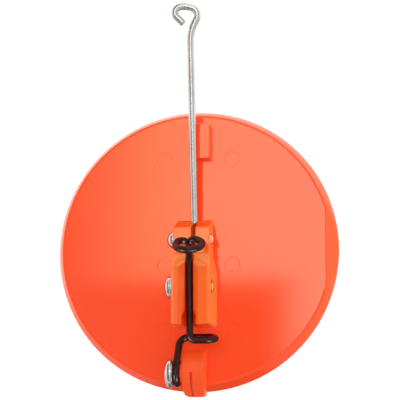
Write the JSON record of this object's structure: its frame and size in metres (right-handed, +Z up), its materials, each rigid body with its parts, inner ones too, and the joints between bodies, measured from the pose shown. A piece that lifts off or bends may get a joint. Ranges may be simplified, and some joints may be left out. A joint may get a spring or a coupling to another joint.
{
  "type": "trolling diver disc",
  "caption": "Round fishing trolling disc with a moulded release block, a hinged trip wire held in its jaws, a swinging wire leader arm and a ballast weight below.",
  "frame": {"origin": "centre of the disc on the plane that it rests on, on the flat end of the hub under the disc", "axes": "+Z up through the disc's face, +Y along the leader arm towards its eye, +X towards the facet on the rim"},
  "size_m": [0.105, 0.1448, 0.0296],
  "materials": {
    "disc_plastic": "semi-gloss moulded fluorescent orange",
    "block_plastic": "semi-gloss moulded orange",
    "arm_wire": "drawn stainless wire",
    "bright_hardware": "polished stainless",
    "black_wire": "glossy black coating",
    "brass_insert": "turned brass",
    "lead_ballast": "dull cast lead"
  },
  "bodies": {
    "hull": {"disc": "disc_plastic", "release_block": "block_plastic", "pivot_lug": "disc_plastic", "arm_pivot_pin": "bright_hardware", "arm_pivot_washer": "bright_hardware", "trip_pivot_screw": "bright_hardware", "trip_pivot_washer": "bright_hardware", "tension_washer": "bright_hardware", "tension_nut": "brass_insert", "block_screw_upper": "bright_hardware", "block_screw_lower": "bright_hardware", "lug_screw_inner": "bright_hardware", "lug_screw_outer": "bright_hardware", "ballast_weight": "lead_ballast", "ballast_screw_left": "bright_hardware", "ballast_screw_right": "bright_hardware"},
    "trip": {"trip_wire": "black_wire"},
    "arm": {"leader_arm": "arm_wire"},
    "tensioner": {"tension_screw": "bright_hardware"}
  },
  "joints": [
    {"name": "trip_swing", "type": "hinge", "parent": "hull", "child": "trip", "pos_m": [0, -0.0461, 0.0122], "axis": [1, 0, 0], "range_deg": [0, 170]},
    {"name": "arm_swing", "type": "hinge", "parent": "hull", "child": "arm", "pos_m": [0.0004, 0.0027, 0.012], "axis": [1, 0, 0], "range_deg": [-5.4, 65]},
    {"name": "tension_turn", "type": "hinge", "parent": "hull", "child": "tensioner", "pos_m": [0, -0.0152, 0.0154], "axis": [1, 0, 0], "range_deg": [-360, 360]}
  ]
}
